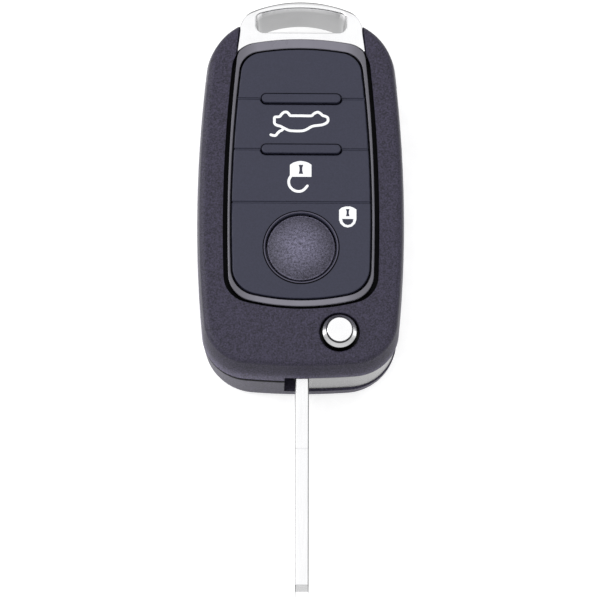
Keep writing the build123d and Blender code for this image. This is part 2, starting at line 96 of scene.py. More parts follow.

# Painted light and shade: how a piece's colour changes over it, in steps of (millimetres, factor)
# Front shell: a painted highlight along its lower edge, and painted shade on its bevel
FRONT_BY_HEIGHT = [(10.0, 2.2), (10.7, 1.9), (11.8, 1.0), (13.2, 0.8), (14.4, 0.8), (15.0, 1.0)]
# Rear shell: near-black painted shade along the parting line
REAR_BY_HEIGHT = [(0.0, 1.0), (8.7, 1.0), (8.85, 0.05), (10.0, 0.05)]
# Ring round the panel: near-black painted shade below the top of its rim, where the groove round it lies in
# shade
RING_BY_HEIGHT = [(13.0, 0.06), (14.8, 0.06), (15.1, 1.0), (15.5, 1.0)]
# and painted shade towards its sides
RING_BY_SIDE = [(0.0, 1.0), (8.0, 1.0), (10.5, 0.68), (12.0, 0.58), (14.0, 0.62)]
# Lock button: a painted highlight, lightest in the middle, and a painted highlight round its edge
DOME_BY_RADIUS = [(0.0, 2.5), (2.2, 2.2), (5.9, 1.05), (6.05, 1.9), (6.4, 1.9)]
# Lip round the lock button: near-black painted shade on its outer side and its foot
LIP_BY_RADIUS = [(6.6, 1.0), (6.86, 1.0), (6.90, 0.05), (7.2, 0.05)]
# Loop: painted shade low down, in place of its reflection of the shaded floor
LOOP_BY_HEIGHT = [(0.0, 0.5), (10.0, 0.5), (11.7, 0.8), (11.9, 1.0), (15.0, 1.0)]
# and a painted dark line of shade along its outer edge
LOOP_BY_RADIUS = [(0.0, 1.0), (19.55, 1.0), (19.66, 0.2), (20.0, 0.12)]
# Release button: painted shade on the step under its top, and near-black painted shade on its collar
BUTTON_BY_DEPTH = [(0.0, 1.0), (0.08, 1.0), (0.14, 0.09), (0.60, 0.09),
                   (0.68, 1.0), (1.28, 1.0), (1.34, 0.01), (2.0, 0.01)]
# Blade: painted shade along its sides
BLADE_BY_SIDE = [(0.0, 1.0), (1.08, 1.0), (1.14, 0.4), (1.3, 0.4)]
# and darker painted shade where its sides meet its upper face
BLADE_BY_EDGE = [(0.0, 1.0), (1.03, 1.0), (1.1, 0.5), (1.3, 0.5)]


# Sizes and colours

def colour_property(name, description, default):
    return FloatVectorProperty(name=name, description=description, default=default, size=3,
                               subtype="COLOR", min=0.0, max=1.0)


def length_property(name, description, default_mm):
    return FloatProperty(name=name, description=description, default=default_mm * MM, unit="LENGTH",
                         precision=5, min=0.0)


class FlipKeyFinish(bpy.types.PropertyGroup):
    shell: colour_property("Shell", "Colour of the moulded shell halves", (0.030, 0.026, 0.048))
    shell_grain: length_property("Shell grain", "Size of the moulded grain on the shell halves", 0.28)
    panel: colour_property("Panel", "Colour of the soft button panel", (0.026, 0.027, 0.050))
    bezel: colour_property("Bezel", "Colour of the smooth ring round the panel", (0.178, 0.172, 0.208))
    dome: colour_property("Dome", "Colour of the domed lock button", (0.055, 0.052, 0.076))
    print_ink: colour_property("Print", "Colour of the printed marks", (0.90, 0.91, 0.93))
    chrome: colour_property("Chrome", "Colour of the plated parts", (0.95, 0.95, 0.96))
    blade: colour_property("Blade", "Colour of the plated key blade", (0.94, 0.94, 0.95))


class FlipKeyMarks(bpy.types.PropertyGroup):
    stroke: length_property("Stroke", "Width of the drawn lines", 0.50)
    film: length_property("Film", "Height of the ink above the key", 0.04)


class FlipKeyStipple(bpy.types.PropertyGroup):
    dots: IntProperty(name="Dots", description="Number of raised dots on the lock button",
                      default=1050, min=1)
    radius: length_property("Radius", "Radius of one raised dot", 0.12)
    reach: length_property("Reach", "Radius of the dotted area", 5.75)
    height: length_property("Height", "How far a dot stands up", 0.045)


class FlipKeyStage(bpy.types.PropertyGroup):
    floor: colour_property("Floor", "Colour of the studio floor", (0.60, 0.60, 0.60))
    floor_glow: FloatProperty(name="Floor glow", description="Light that comes through the floor",
                              default=0.62, min=0.0)
    floor_size: FloatProperty(name="Floor size", description="Side of the floor", default=3.0, unit="LENGTH")
    tent_low: FloatProperty(name="Tent low", description="Brightness of the light tent near the floor",
                            default=0.45, min=0.0, max=1.0)
    tent_high: FloatProperty(name="Tent high", description="Brightness of the light tent overhead",
                             default=1.0, min=0.0, max=1.0)
    tent_strength: FloatProperty(name="Tent strength", description="Strength of the light tent",
                                 default=1.05, min=0.0)
    lens: FloatProperty(name="Lens", description="Focal length of the camera in millimetres",
                        default=454.13, min=1.0)
    place: FloatVectorProperty(name="Camera place", description="Where the camera stands",
                               default=(-0.016302, -0.421966, 1.348353), size=3, subtype="TRANSLATION")
    turn: FloatVectorProperty(name="Camera turn", description="How the camera is turned",
                              default=tuple(math.radians(v) for v in (16.7256, -0.7142, 0.0714)),
                              size=3, subtype="EULER")


# Node making, for materials and Geometry Nodes alike

def maths(tree, operation, first, second=None):
    node = tree.nodes.new("ShaderNodeMath")
    node.operation = operation
    for socket, value in zip(node.inputs, (first, second)):
        if isinstance(value, bpy.types.NodeSocket):
            tree.links.new(value, socket)
        elif value is not None:
            socket.default_value = value
    return node.outputs[0]


# Material making

def new_material(name):
    material = bpy.data.materials.new(name)
    material.use_nodes = True
    nodes = material.node_tree.nodes
    shader = nodes["Principled BSDF"]
    return material, material.node_tree, shader


def object_coordinates(tree, scale=(1.0, 1.0, 1.0)):
    place = tree.nodes.new("ShaderNodeTexCoord")
    mapping = tree.nodes.new("ShaderNodeMapping")
    mapping.inputs["Scale"].default_value = scale
    tree.links.new(place.outputs["Object"], mapping.inputs["Vector"])
    return mapping.outputs["Vector"]


def noise(tree, vector, size, detail=2.0, roughness=0.5):
    node = tree.nodes.new("ShaderNodeTexNoise")
    node.inputs["Scale"].default_value = 1.0 / size
    node.inputs["Detail"].default_value = detail
    node.inputs["Roughness"].default_value = roughness
    tree.links.new(vector, node.inputs["Vector"])
    return node.outputs["Fac"]


def ramp(tree, value, low, high, low_colour, high_colour):
    node = tree.nodes.new("ShaderNodeValToRGB")
    node.color_ramp.elements[0].position = low
    node.color_ramp.elements[0].color = (*low_colour, 1.0)
    node.color_ramp.elements[1].position = high
    node.color_ramp.elements[1].color = (*high_colour, 1.0)
    tree.links.new(value, node.inputs["Fac"])
    return node.outputs["Color"]


def spread(tree, value, low, high):
    node = tree.nodes.new("ShaderNodeMapRange")
    node.inputs["To Min"].default_value = low
    node.inputs["To Max"].default_value = high
    tree.links.new(value, node.inputs["Value"])
    return node.outputs["Result"]


def bump(tree, shader, height, distance):
    node = tree.nodes.new("ShaderNodeBump")
    node.inputs["Strength"].default_value = 1.0
    node.inputs["Distance"].default_value = distance
    tree.links.new(height, node.inputs["Height"])
    tree.links.new(node.outputs["Normal"], shader.inputs["Normal"])


def tint(colour, factor):
    return tuple(min(1.0, part * factor) for part in colour)


def bands(tree, value, stops):
    # A ramp with any number of stops, each a position and a colour.
    node = tree.nodes.new("ShaderNodeValToRGB")
    marks = node.color_ramp.elements
    while len(marks) < len(stops):
        marks.new(0.5)
    for mark, (position, colour) in zip(marks, stops):
        mark.position = position
        mark.color = (*colour, 1.0)
    tree.links.new(value, node.inputs["Fac"])
    return node.outputs["Color"]


def multiplied(tree, first, second):
    node = tree.nodes.new("ShaderNodeMix")
    node.data_type = "RGBA"
    node.blend_type = "MULTIPLY"
    node.inputs["Factor"].default_value = 1.0
    tree.links.new(first, node.inputs[6])
    tree.links.new(second, node.inputs[7])
    return node.outputs[2]


def grained_plastic(name, colour, grain, roughness, contrast=0.25, depth=0.00004, gloss=0.3):
    # Moulded plastic: a fine even grain in its tone, over slow changes of roughness.
    material, tree, shader = new_material(name)
    shader.inputs["Specular IOR Level"].default_value = gloss
    vector = object_coordinates(tree)
    fine = noise(tree, vector, grain, 3.0, 0.6)
    slow = noise(tree, vector, grain * 40, 2.0)
    tone = ramp(tree, fine, 0.32, 0.68, tint(colour, 1 - contrast), tint(colour, 1 + contrast))
    tree.links.new(tone, shader.inputs["Base Color"])
    tree.links.new(spread(tree, slow, roughness - 0.05, roughness + 0.05), shader.inputs["Roughness"])
    bump(tree, shader, fine, depth)
    return material


def shaded(material, length, steps, gloss=False):
    # Multiplies a material's colour by a factor that changes with a length, in steps of
    # (millimetres, factor): this paints light and shade into the colour. With gloss, its sheen changes as
    # well, as painted sheen.
    tree = material.node_tree
    shader = tree.nodes["Principled BSDF"]
    tone = shader.inputs["Base Color"].links[0].from_socket
    low = steps[0][0]
    reach = steps[-1][0] - low
    share = maths(tree, "DIVIDE", maths(tree, "SUBTRACT", length, low * MM), reach * MM)
    factors = bands(tree, share, [((at - low) / reach, (factor,) * 3) for at, factor in steps])
    tree.links.new(multiplied(tree, tone, factors), shader.inputs["Base Color"])
    if gloss:
        sheen = shader.inputs["Specular IOR Level"]
        tree.links.new(maths(tree, "MULTIPLY", factors, sheen.default_value), sheen)


def place_part(material, axis):
    # One of the object coordinates, as a length.
    tree = material.node_tree
    parts = tree.nodes.new("ShaderNodeSeparateXYZ")
    tree.links.new(object_coordinates(tree), parts.inputs[0])
    return parts.outputs[axis]


def distance_from_axis(material, x, y):
    # The distance from an upright axis.
    tree = material.node_tree
    away = tree.nodes.new("ShaderNodeVectorMath")
    away.operation = "DISTANCE"
    away.inputs[1].default_value = (x, y, 0.0)
    tree.links.new(object_coordinates(tree, (1.0, 1.0, 0.0)), away.inputs[0])
    return away.outputs["Value"]


def near_upper_edge(material, length, height):
    # The same length above a height, and less and less below it, so that it shades only an upper edge.
    tree = material.node_tree
    under = maths(tree, "MAXIMUM", maths(tree, "SUBTRACT", height, place_part(material, "Z")), 0.0)
    return maths(tree, "SUBTRACT", length, maths(tree, "MULTIPLY", under, EDGE_FALL))


def smooth_plastic(name, colour, roughness, ripple=0.000004):
    # Polished or satin plastic with a faint unevenness.
    material, tree, shader = new_material(name)
    vector = object_coordinates(tree)
    slow = noise(tree, vector, 0.004, 2.0)
    tone = ramp(tree, slow, 0.3, 0.7, tint(colour, 0.93), tint(colour, 1.07))
    tree.links.new(tone, shader.inputs["Base Color"])
    tree.links.new(spread(tree, slow, roughness - 0.03, roughness + 0.03), shader.inputs["Roughness"])
    bump(tree, shader, noise(tree, vector, 0.0006, 1.0), ripple)
    return material


def plated_metal(name, colour, roughness, ripple=0.000002, stretch=(1.0, 1.0, 1.0), grain=0.003):
    # Bright plating: nearly even, with faint polishing marks.
    material, tree, shader = new_material(name)
    shader.inputs["Metallic"].default_value = 1.0
    vector = object_coordinates(tree, stretch)
    marks = noise(tree, vector, grain, 2.0)
    tone = ramp(tree, marks, 0.3, 0.7, tint(colour, 0.96), colour)
    tree.links.new(tone, shader.inputs["Base Color"])
    matt = spread(tree, marks, max(0.02, roughness - 0.03), roughness + 0.04)
    tree.links.new(matt, shader.inputs["Roughness"])
    bump(tree, shader, marks, ripple)
    return material


def capped_metal(name, colour, roughness):
    # The release button's plating by depth: a bright top, painted shade on the step under it, a bright rim,
    # and near-black painted shade on the collar.
    material = plated_metal(name, colour, roughness)
    depth = maths(material.node_tree, "SUBTRACT", BUTTON_TOP, place_part(material, "Z"))
    shaded(material, depth, BUTTON_BY_DEPTH)
    return material


def finish_node(name, material):
    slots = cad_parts[name].data.materials
    slots.clear()
    slots.append(material)


# Mesh making

def linked_object(name, data):
    made = bpy.data.objects.new(name, data)
    bpy.context.scene.collection.objects.link(made)
    return made


def mesh_piece(name, mesh, material, body):
    piece = linked_object(name, mesh)
    mesh.materials.clear()
    mesh.materials.append(material)
    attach(piece, body)
    return piece


def baked_mesh(maker, name):
    # The finished mesh of an object with curves or modifiers; the object itself is removed.
    bpy.context.view_layer.update()
    graph = bpy.context.evaluated_depsgraph_get()
    mesh = bpy.data.meshes.new_from_object(maker.evaluated_get(graph), depsgraph=graph)
    mesh.transform(maker.matrix_world)
    mesh.name = name
    bpy.data.objects.remove(maker)
    return mesh


def flat_shape(name, outlines, low_z, high_z):
    # A flat shape with holes: each outline is a closed loop of points in metres.
    curve = bpy.data.curves.new(name, "CURVE")
    curve.dimensions = "2D"
    curve.fill_mode = "BOTH"
    curve.extrude = (high_z - low_z) / 2
    for outline in outlines:
        spline = curve.splines.new("POLY")
        spline.points.add(len(outline) - 1)
        for point, (x, y) in zip(spline.points, outline):
            point.co = (x, y, 0.0, 1.0)
        spline.use_cyclic_u = True
    maker = linked_object(name, curve)
    maker.location = (0.0, 0.0, (high_z + low_z) / 2)
    return baked_mesh(maker, name)


def smooth_line(points, closed, steps=6):
    # Points of a smooth line through the given points.
    count = len(points)
    line = []
    spans = count if closed else count - 1
    for i in range(spans):
        if closed:
            around = [points[(i + k) % count] for k in (-1, 0, 1, 2)]
        else:
            around = [points[min(max(i + k, 0), count - 1)] for k in (-1, 0, 1, 2)]
        a, b, c, d = [Vector(p) for p in around]
        for step in range(steps):
            t = step / steps
            line.append(0.5 * (2 * b + (c - a) * t + (2 * a - 5 * b + 4 * c - d) * t * t
                               + (3 * b - a - 3 * c + d) * t ** 3))
    if not closed:
        line.append(Vector(points[-1]))
    return line


def side_step(line, i, closed):
    count = len(line)
    before = line[(i - 1) % count] if closed else line[max(i - 1, 0)]
    after = line[(i + 1) % count] if closed else line[min(i + 1, count - 1)]
    along = (after - before).normalized()
    return Vector((-along.y, along.x))


def stroke_outlines(points, width, closed):
    # The two edges of a drawn stroke, or one outline with round ends when it is open.
    line = smooth_line(points, closed)
    left = [p + side_step(line, i, closed) * width / 2 for i, p in enumerate(line)]
    right = [p - side_step(line, i, closed) * width / 2 for i, p in enumerate(line)]
    if closed:
        return [left, right]
    ends = []
    for at, start in ((line[-1], left[-1] - line[-1]), (line[0], right[0] - line[0])):
        turns = [start.copy() for _ in range(5)]
        for k, part in enumerate(turns):
            part.rotate(Matrix.Rotation(-math.pi * (k + 1) / 6, 2))
        ends.append([at + part for part in turns])
    return [left + ends[0] + right[::-1] + ends[1]]


# Printed marks. Each is drawn in millimetres on the face of its key.

TAILGATE_CAR = [(-4.79, 13.94), (-3.93, 14.06), (-3.53, 14.54), (-3.13, 14.88), (-2.73, 14.96),
                (-2.38, 14.81), (-1.98, 14.30), (-1.63, 14.24), (0.15, 14.24), (1.92, 14.24),
                (2.32, 14.54), (2.84, 14.88), (3.24, 14.93), (3.64, 14.72), (4.10, 14.30),
                (4.67, 14.12), (5.02, 13.82), (5.04, 13.22), (4.67, 12.80), (3.99, 12.50),
                (3.07, 12.36), (2.38, 12.26), (1.81, 12.02), (1.23, 11.66), (0.55, 11.36),
                (-0.26, 11.27), (-1.17, 11.28), (-2.09, 11.36), (-2.67, 11.60), (-3.12, 11.84),
                (-3.81, 12.20), (-4.44, 12.38), (-4.82, 12.74), (-4.87, 13.34)]
TAILGATE_LID = [(-3.12, 11.84), (-3.47, 11.42), (-3.93, 11.18), (-4.33, 10.76), (-4.67, 10.37),
                (-5.19, 10.40), (-5.53, 10.52)]
UNLOCK_BODY = [(-1.98, 4.70), (-1.30, 5.15), (-0.55, 5.38), (0.02, 5.45), (0.60, 5.38),
               (1.35, 5.15), (2.00, 4.73), (2.00, 2.38), (-1.98, 2.38)]
UNLOCK_SHACKLE = [(-1.80, 2.50), (-2.12, 1.90), (-2.20, 1.25), (-2.02, 0.56), (-1.55, -0.02),
                  (-0.98, -0.36), (-0.33, -0.46), (0.30, -0.32), (0.77, 0.04), (1.24, 0.62)]
LOCK_BODY = [(7.10, -4.00), (7.60, -3.55), (8.30, -3.34), (9.15, -3.32), (9.75, -3.55),
             (10.30, -3.90), (10.30, -5.85), (10.05, -6.60), (9.48, -7.18), (8.72, -7.40),
             (7.95, -7.20), (7.35, -6.65), (7.10, -5.95)]
LOCK_GAP = [(7.66, -5.74), (9.78, -5.74), (9.64, -6.35), (9.25, -6.78), (8.72, -6.93),
            (8.20, -6.78), (7.80, -6.35)]


def in_metres(points):
    return [(x * MM, y * MM) for x, y in points]


def keyhole(x, y, height):
    # Wide at both ends, with a slim waist.
    half = height / 2
    wide = height * 0.25
    slim = height * 0.15
    corners = [(-wide, half), (wide, half), (slim, half * 0.35), (slim, -half * 0.3),
               (wide, -half), (-wide, -half), (-slim, -half * 0.3), (-slim, half * 0.35)]
    return in_metres([(x + a, y + b) for a, b in corners])


def printed_mark(name, outlines, body, ink, film):
    outlines = [[(x - MARK_SHIFT * MM, y) for x, y in outline] for outline in outlines]
    mesh = flat_shape(name, outlines, PANEL_TOP - FILM_SINK * MM, PANEL_TOP + film)
    mesh_piece(name, mesh, ink, body)


# Small solids

def box_shape(made, low, high):
    low = Vector(low)
    high = Vector(high)
    for corner in bmesh.ops.create_cube(made, size=1.0)["verts"]:
        corner.co = Vector(low[k] + (corner.co[k] + 0.5) * (high[k] - low[k]) for k in range(3))


def mesh_from(made, name):
    bmesh.ops.recalc_face_normals(made, faces=made.faces)
    mesh = bpy.data.meshes.new(name)
    made.to_mesh(mesh)
    made.free()
    return mesh


def turned_shape(made, profile, centre, segments=48, closed=False):
    # A solid turned about an upright axis. The profile is (radius, height) from the axis back to the axis,
    # or a closed loop beside it.
    turns = [2 * math.pi * k / segments for k in range(segments)]
    rings = []
    for radius, height in profile:
        spots = [(radius * math.cos(turn), radius * math.sin(turn))
                 for turn in (turns if radius else turns[:1])]
        rings.append([made.verts.new((centre[0] + x, centre[1] + y, height)) for x, y in spots])
    for below, above in zip(rings, rings[1:] + (rings[:1] if closed else [])):
        for k in range(segments):
            after = (k + 1) % segments
            if len(below) == 1:
                made.faces.new((below[0], above[after], above[k]))
            elif len(above) == 1:
                made.faces.new((below[k], below[after], above[0]))
            else:
                made.faces.new((below[k], below[after], above[after], above[k]))


def ridge_shade_line(seam_y):
    # A fine dark film round the upper half of a ridge: painted shade where a groove round the ridge would
    # lie in shade.
    half = [(x, RIDGE_REACH) for x in (0.0, 3.0, 5.0, 5.9, 6.3)]
    for degrees in (80, 65, 50, 35, 20):
        turn = math.radians(degrees)
        half.append((RIDGE_END + RIDGE_REACH * math.cos(turn), RIDGE_REACH * math.sin(turn)))
    points = [(-x, seam_y + y) for x, y in half[:0:-1]] + [(x, seam_y + y) for x, y in half]
    return stroke_outlines(in_metres(points), GROOVE_SHADE_WIDTH * MM, False)


def lip_profile():
    # A low moulded ring with a rounded top, and a thin flat foot outside it: steps out from its
    # middle and up.
    steps = [(-0.11, -0.05), (-0.11, 0.084), (-0.055, 0.14), (0.055, 0.14), (0.11, 0.084), (0.11, 0.012),
             (0.31, 0.012), (0.31, -0.05)]
    return [((LIP_RADIUS + out) * MM, PANEL_TOP + up * MM) for out, up in steps]


def cross_screw():
    # The case screw: a low round head with a cross recess, seen from the rear, and a plain shank.
    low, high = node_box("case_screw")
    x = (low.x + high.x) / 2
    y = (low.y + high.y) / 2
    head = [(0.0, 0.0), (1.45, 0.0), (1.75, 0.10), (1.9, 0.35), (1.9, 1.2), (0.95, 1.2)]
    profile = [(radius * MM, low.z + rise * MM) for radius, rise in head]
    profile += [(0.95 * MM, high.z - 0.4 * MM), (0.6 * MM, high.z), (0.0, high.z)]
    made = bmesh.new()
    turned_shape(made, profile, (x, y))
    body = linked_object("case_screw_body", mesh_from(made, "case_screw_body"))
    arms = []
    for number, (wide, deep) in enumerate(((1.1, 0.26), (0.26, 1.1))):
        made = bmesh.new()
        box_shape(made, (x - wide * MM, y - deep * MM, low.z - 0.3 * MM),
                  (x + wide * MM, y + deep * MM, low.z + 0.75 * MM))
        name = f"case_screw_arm_{number}"
        arm = linked_object(name, mesh_from(made, name))
        cut = body.modifiers.new(f"Recess {number}", "BOOLEAN")
        cut.operation = "DIFFERENCE"
        cut.solver = "EXACT"
        cut.object = arm
        arms.append(arm)
    mesh = baked_mesh(body, "case_screw_head")
    for arm in arms:
        bpy.data.objects.remove(arm)
    return mesh


# Geometry Nodes trees

def new_tree(name):
    tree = bpy.data.node_groups.new(name, "GeometryNodeTree")
    tree.interface.new_socket(name="Geometry", in_out="OUTPUT", socket_type="NodeSocketGeometry")
    return tree, tree.nodes.new("NodeGroupInput"), tree.nodes.new("NodeGroupOutput")


def add_input(tree, name, kind, value):
    tree.interface.new_socket(name=name, in_out="INPUT", socket_type=kind).default_value = value


def finish_tree(tree, ends, geometry, material):
    real = tree.nodes.new("GeometryNodeRealizeInstances")
    paint = tree.nodes.new("GeometryNodeSetMaterial")
    paint.inputs["Material"].default_value = material
    tree.links.new(geometry, real.inputs[0])
    tree.links.new(real.outputs[0], paint.inputs["Geometry"])
    tree.links.new(paint.outputs[0], ends.inputs[0])


def grown_piece(name, tree, values, material, body):
    # A piece made by a tree: its inputs are set by identifier, and the result is kept as plain mesh.
    maker = linked_object(name, bpy.data.meshes.new(name))
    modifier = maker.modifiers.new("Grow", "NODES")
    modifier.node_group = tree
    for item in tree.interface.items_tree:
        if item.in_out == "INPUT" and item.name in values:
            modifier[item.identifier] = values[item.name]
    mesh_piece(name, baked_mesh(maker, name), material, body)


def stipple_tree(material, sphere_radius, centre):
    # Dots along a spiral that fills a round cap evenly, each standing on the cap.
    tree, starts, ends = new_tree("Stipple")
    add_input(tree, "Dots", "NodeSocketInt", 1000)
    add_input(tree, "Radius", "NodeSocketFloat", 0.1 * MM)
    add_input(tree, "Height", "NodeSocketFloat", 0.05 * MM)
    add_input(tree, "Reach", "NodeSocketFloat", 5 * MM)
    index = tree.nodes.new("GeometryNodeInputIndex").outputs[0]
    share = maths(tree, "DIVIDE", maths(tree, "ADD", index, 0.5), starts.outputs["Dots"])
    out = maths(tree, "MULTIPLY", maths(tree, "SQRT", share), starts.outputs["Reach"])
    turn = maths(tree, "MULTIPLY", index, math.pi * (3 - math.sqrt(5)))
    x = maths(tree, "MULTIPLY", out, maths(tree, "COSINE", turn))
    y = maths(tree, "MULTIPLY", out, maths(tree, "SINE", turn))
    drop = maths(tree, "SUBTRACT", sphere_radius ** 2, maths(tree, "MULTIPLY", out, out))
    z = maths(tree, "SQRT", drop)
    upright = tree.nodes.new("ShaderNodeCombineXYZ")
    for socket, value in zip(upright.inputs, (x, y, z)):
        tree.links.new(value, socket)
    move = tree.nodes.new("ShaderNodeVectorMath")
    move.operation = "ADD"
    move.inputs[1].default_value = centre
    tree.links.new(upright.outputs[0], move.inputs[0])
    points = tree.nodes.new("GeometryNodePoints")
    tree.links.new(starts.outputs["Dots"], points.inputs["Count"])
    tree.links.new(move.outputs[0], points.inputs["Position"])
    align = tree.nodes.new("FunctionNodeAlignRotationToVector")
    align.axis = "Z"
    tree.links.new(upright.outputs[0], align.inputs["Vector"])
    dot = tree.nodes.new("GeometryNodeMeshUVSphere")
    dot.inputs["Segments"].default_value = 6
    dot.inputs["Rings"].default_value = 4
    dot.inputs["Radius"].default_value = 1.0
    size = tree.nodes.new("ShaderNodeCombineXYZ")
    tree.links.new(starts.outputs["Radius"], size.inputs[0])
    tree.links.new(starts.outputs["Radius"], size.inputs[1])
    tree.links.new(starts.outputs["Height"], size.inputs[2])
    spots = tree.nodes.new("GeometryNodeInstanceOnPoints")
    tree.links.new(points.outputs[0], spots.inputs["Points"])
    tree.links.new(dot.outputs["Mesh"], spots.inputs["Instance"])
    tree.links.new(align.outputs[0], spots.inputs["Rotation"])
    tree.links.new(size.outputs[0], spots.inputs["Scale"])
    finish_tree(tree, ends, spots.outputs[0], material)
    return tree


# Operators

class FLIPKEY_OT_shells(bpy.types.Operator):
    """Gives the two shell halves their grained plastic"""
    bl_idname = "flipkey.shells"
    bl_label = "Shell halves"

    def execute(self, context):
        look = context.scene.flipkey_finish
        front = grained_plastic("Moulded plastic", look.shell, look.shell_grain, 0.48, 0.7)
        rear = grained_plastic("Moulded plastic, rear", tint(look.shell, 1.2), look.shell_grain * 1.4,
                               0.5, 0.6, depth=0.00006, gloss=0.4)
        # Painted highlight and painted shade by height on the front shell, in colour and sheen
        shaded(front, place_part(front, "Z"), FRONT_BY_HEIGHT, gloss=True)
        # Near-black painted shade along the rear shell's parting line, in colour and sheen
        shaded(rear, place_part(rear, "Z"), REAR_BY_HEIGHT, gloss=True)
        finish_node("front_shell", front)
        finish_node("rear_shell", rear)
        return {"FINISHED"}


class FLIPKEY_OT_panel(bpy.types.Operator):
    """Gives the panel, its keys and the ring round them their finishes"""
    bl_idname = "flipkey.panel"
    bl_label = "Button panel"

    def execute(self, context):
        look = context.scene.flipkey_finish
        soft = grained_plastic("Panel rubber", look.panel, 0.3 * MM, 0.55, 0.12, 0.000006, 0.4)
        for name in ("button_pad", "tailgate_button", "unlock_button"):
            finish_node(name, soft)
        ring = smooth_plastic("Ring plastic", look.bezel, 0.28)
        # Painted shade on the ring: by height in colour and sheen, and darker towards its sides
        shaded(ring, place_part(ring, "Z"), RING_BY_HEIGHT, gloss=True)
        shaded(ring, maths(ring.node_tree, "ABSOLUTE", place_part(ring, "X")), RING_BY_SIDE)
        finish_node("pad_bezel", ring)
        for number, (seam_y, spans) in enumerate(SEAM_WEBS):
            low_y, high_y = seam_y - WEB_HALF, seam_y + WEB_HALF
            outlines = [in_metres([(left, low_y), (right, low_y), (right, high_y), (left, high_y)])
                        for left, right in spans]
            name = f"seam_web_{number}"
            web = flat_shape(name, outlines, PANEL_TOP - WEB_FOOT * MM, PANEL_TOP - WEB_TOP * MM)
            mesh_piece(name, web, soft, "case")
        # Painted shade: a dark film round each ridge, in place of the shade of a groove round it
        groove_shade = grained_plastic("Groove shade", tint(look.panel, 0.2), 0.3 * MM, 0.8, 0.1, 0.000004, 0.1)
        for number, (seam_y, body) in enumerate(RIDGES):
            name = f"ridge_shade_line_{number}"
            low_z, high_z = PANEL_TOP - FILM_SINK * MM, PANEL_TOP + GROOVE_SHADE_RISE * MM
            line = flat_shape(name, ridge_shade_line(seam_y), low_z, high_z)
            mesh_piece(name, line, groove_shade, body)
        return {"FINISHED"}


class FLIPKEY_OT_dome(bpy.types.Operator):
    """Gives the domed lock button its rubber and its raised dots"""
    bl_idname = "flipkey.dome"
    bl_label = "Lock dome"

    def execute(self, context):
        look = context.scene.flipkey_finish
        dots = context.scene.flipkey_stipple
        rubber = grained_plastic("Dome rubber", look.dome, 0.32 * MM, 0.6, 0.6, 0.00005)
        centre = node_centre("lock_button")
        centre.z = DOME_TOP - DOME_SPHERE * MM
        # Painted highlight on the lock button and its dots: lighter in the middle and round the edge
        shaded(rubber, distance_from_axis(rubber, centre.x, centre.y), DOME_BY_RADIUS)
        finish_node("lock_button", rubber)
        tree = stipple_tree(rubber, DOME_SPHERE * MM, centre)
        made = bmesh.new()
        turned_shape(made, lip_profile(), centre, 96, closed=True)
        # The lip is lighter than the dome as a painted highlight, and its outer side and foot are near-black
        # painted shade, in colour and sheen
        lip = grained_plastic("Dome lip", tint(look.dome, 1.5), 0.3 * MM, 0.4, 0.1, 0.000004)
        shaded(lip, distance_from_axis(lip, centre.x, centre.y), LIP_BY_RADIUS, gloss=True)
        mesh_piece("dome_lip", mesh_from(made, "dome_lip"), lip, "case")
        values = {"Dots": dots.dots, "Radius": dots.radius, "Height": dots.height, "Reach": dots.reach}
        grown_piece("dome_stipple", tree, values, rubber, "lock_key")
        return {"FINISHED"}


class FLIPKEY_OT_marks(bpy.types.Operator):
    """Prints the three pictograms on the panel"""
    bl_idname = "flipkey.marks"
    bl_label = "Printed marks"

    def execute(self, context):
        look = context.scene.flipkey_finish
        size = context.scene.flipkey_marks
        ink = smooth_plastic("Print ink", look.print_ink, 0.5, 0.0)
        car = stroke_outlines(in_metres(TAILGATE_CAR), size.stroke, True)
        printed_mark("tailgate_car_mark", car, "tailgate_key", ink, size.film)
        lid = stroke_outlines(in_metres(TAILGATE_LID), size.stroke, False)
        printed_mark("tailgate_lid_mark", lid, "tailgate_key", ink, size.film * 1.2)
        unlock = [in_metres(UNLOCK_BODY), keyhole(0.05, 3.82, 1.75)]
        printed_mark("unlock_body_mark", unlock, "unlock_key", ink, size.film)
        shackle = stroke_outlines(in_metres(UNLOCK_SHACKLE), size.stroke, False)
        printed_mark("unlock_shackle_mark", shackle, "unlock_key", ink, size.film * 1.2)
        lock = [in_metres(LOCK_BODY), in_metres(LOCK_GAP), keyhole(8.70, -4.52, 1.4)]
        printed_mark("lock_mark", lock, "case", ink, size.film)
        return {"FINISHED"}


class FLIPKEY_OT_plating(bpy.types.Operator):
    """Gives the loop, the flip head and the release button their bright plating"""
    bl_idname = "flipkey.plating"
    bl_label = "Plated parts"

    def execute(self, context):
        look = context.scene.flipkey_finish
        loop = plated_metal("Bright plating", look.chrome, 0.12)
        # Painted shade on the loop's lower walls, in place of its reflection of the shaded floor
        shaded(loop, place_part(loop, "Z"), LOOP_BY_HEIGHT)
        # A painted dark line of shade along the outer edge, which rises from the middle to both sides
        tree = loop.node_tree
        rise = maths(tree, "MULTIPLY", maths(tree, "ABSOLUTE", place_part(loop, "X")), LOOP_EDGE_RISE)
        low = maths(tree, "ADD", rise, LOOP_EDGE_LOW * MM)
        out = distance_from_axis(loop, 0.0, LOOP_CENTRE_Y * MM)
        shaded(loop, near_upper_edge(loop, out, low), LOOP_BY_RADIUS)
        finish_node("keyring_loop", loop)
        finish_node("release_button", capped_metal("Button plating", look.chrome, 0.14))
        # Painted shade: the flip head's plating is darkened to 0.30 of the chrome, in place of the shaded
        # floor it reflects
        finish_node("flip_head", plated_metal("Head plating", tint(look.chrome, 0.30), 0.26))
        return {"FINISHED"}


